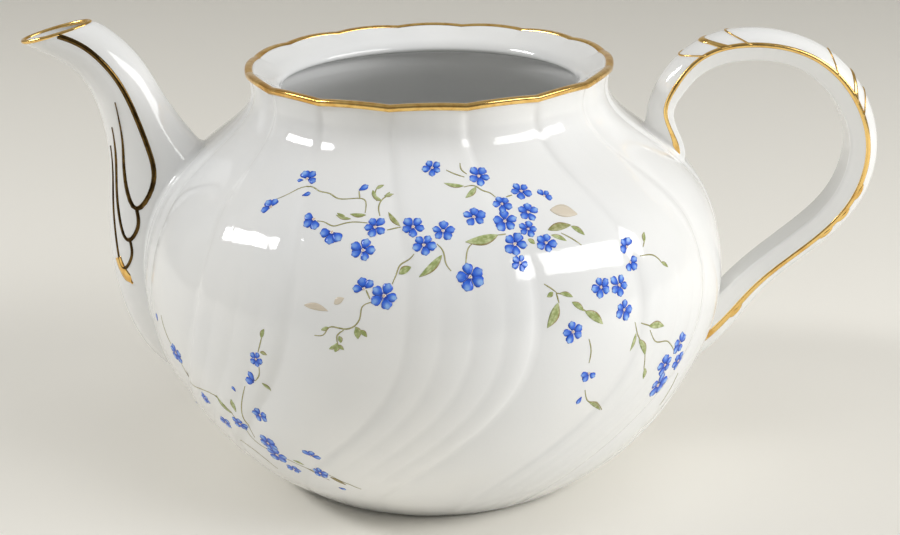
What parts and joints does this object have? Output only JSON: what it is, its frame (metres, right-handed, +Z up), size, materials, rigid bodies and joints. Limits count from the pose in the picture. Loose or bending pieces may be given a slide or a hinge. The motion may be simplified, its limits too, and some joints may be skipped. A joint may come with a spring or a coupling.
{
  "type": "teapot",
  "caption": "Squat porcelain teapot without lid, with a swirled fluted body, scalloped gilt rim, curved spout and ear handle, for brewing and pouring tea.",
  "frame": {"origin": "on the standing plane, under the middle of the overall length from spout tip to handle; the pot axis is 6.5 mm towards the spout", "axes": "+X towards the handle, -X towards the spout, +Z up along the pot axis"},
  "size_m": [0.2328, 0.1604, 0.1276],
  "materials": {
    "porcelain": "clear gloss glaze",
    "gilding": "bright gold over glaze",
    "flower_enamel": "fired transfer colour of the flowers, in the glaze",
    "leaf_enamel": "fired transfer colour of the leaves and stems, in the glaze"
  },
  "bodies": {
    "root": {"pot_body": "porcelain", "spout": "porcelain", "handle": "porcelain", "spout_luting_slip": "porcelain", "handle_upper_luting_slip": "porcelain", "handle_lower_luting_slip": "porcelain", "rim_gilding": "gilding", "spout_lip_gilding": "gilding", "handle_front_edge_gilding": "gilding", "handle_back_edge_gilding": "gilding", "handle_thumb_cuff_near_line": "gilding", "handle_thumb_cuff_band": "gilding", "handle_thumb_cuff_far_line": "gilding", "handle_brow_cuff_near_line": "gilding", "handle_brow_cuff_band": "gilding", "handle_brow_cuff_far_line": "gilding", "spout_front_upper_tongue": "gilding", "spout_front_middle_tongue": "gilding", "spout_front_lower_tongue": "gilding", "spout_back_upper_tongue": "gilding", "spout_back_middle_tongue": "gilding", "spout_back_lower_tongue": "gilding"}
  },
  "joints": []
}
